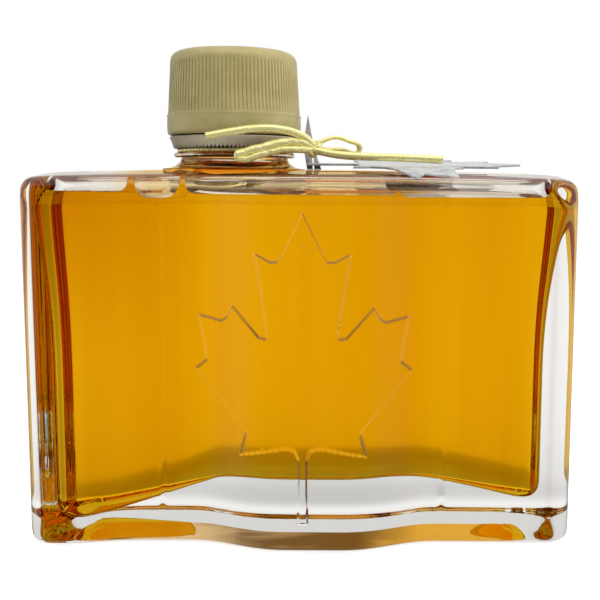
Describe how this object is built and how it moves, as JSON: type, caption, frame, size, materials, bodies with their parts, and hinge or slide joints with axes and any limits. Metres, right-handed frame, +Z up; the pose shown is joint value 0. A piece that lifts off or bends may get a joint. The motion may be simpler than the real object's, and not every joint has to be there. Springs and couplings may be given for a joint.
{
  "type": "maple syrup bottle",
  "caption": "Flat clear glass bottle of amber syrup with waved faces, a leaf in low relief, a knurled screw cap, a card leaf tag and a tied elastic bow",
  "frame": {"origin": "on the base plane, under the middle of the body's width and on the mid-plane of its flat panels", "axes": "+X along the width, to the right when facing the front; +Y from the front to the back; +Z up out of the cap"},
  "size_m": [0.1226, 0.0444, 0.109],
  "materials": {
    "clear_glass": "smooth moulded clear glass",
    "syrup": "clear amber syrup",
    "cap_gold": "satin dull gold moulded plastic",
    "ring_gold": "pale satin gold plastic",
    "silver_card": "glossy silver coated card",
    "gold_elastic": "bright metallic gold covered elastic"
  },
  "bodies": {
    "root": {"bottle": "clear_glass", "syrup": "syrup", "cap": "cap_gold", "tamper_ring": "ring_gold", "tag": "silver_card", "bow": "gold_elastic"}
  },
  "joints": []
}
